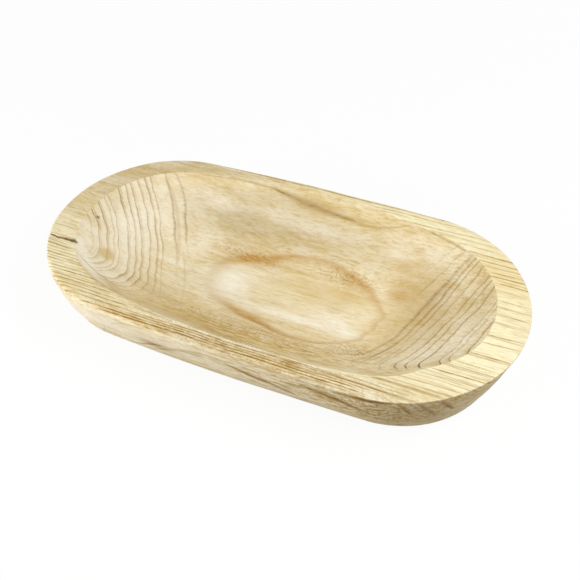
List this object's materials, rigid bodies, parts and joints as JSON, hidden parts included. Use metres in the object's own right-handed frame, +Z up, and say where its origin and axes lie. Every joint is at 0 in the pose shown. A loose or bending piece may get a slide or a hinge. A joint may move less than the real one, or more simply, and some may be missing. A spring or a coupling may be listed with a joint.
{
  "type": "dough bowl",
  "caption": "Long oval dough bowl carved from a single block of pale ringed wood, with a flat rim, a dished hollow and a flat base, for proving dough or holding fruit.",
  "frame": {"origin": "middle of the flat base", "axes": "+X along the bowl towards its wider rim end, +Y across it towards the thin side of the rim, +Z up"},
  "size_m": [0.4991, 0.2518, 0.07],
  "materials": {
    "wood": "bare sanded wood, matte"
  },
  "bodies": {
    "root": {"carved_bowl": "wood"}
  },
  "joints": []
}
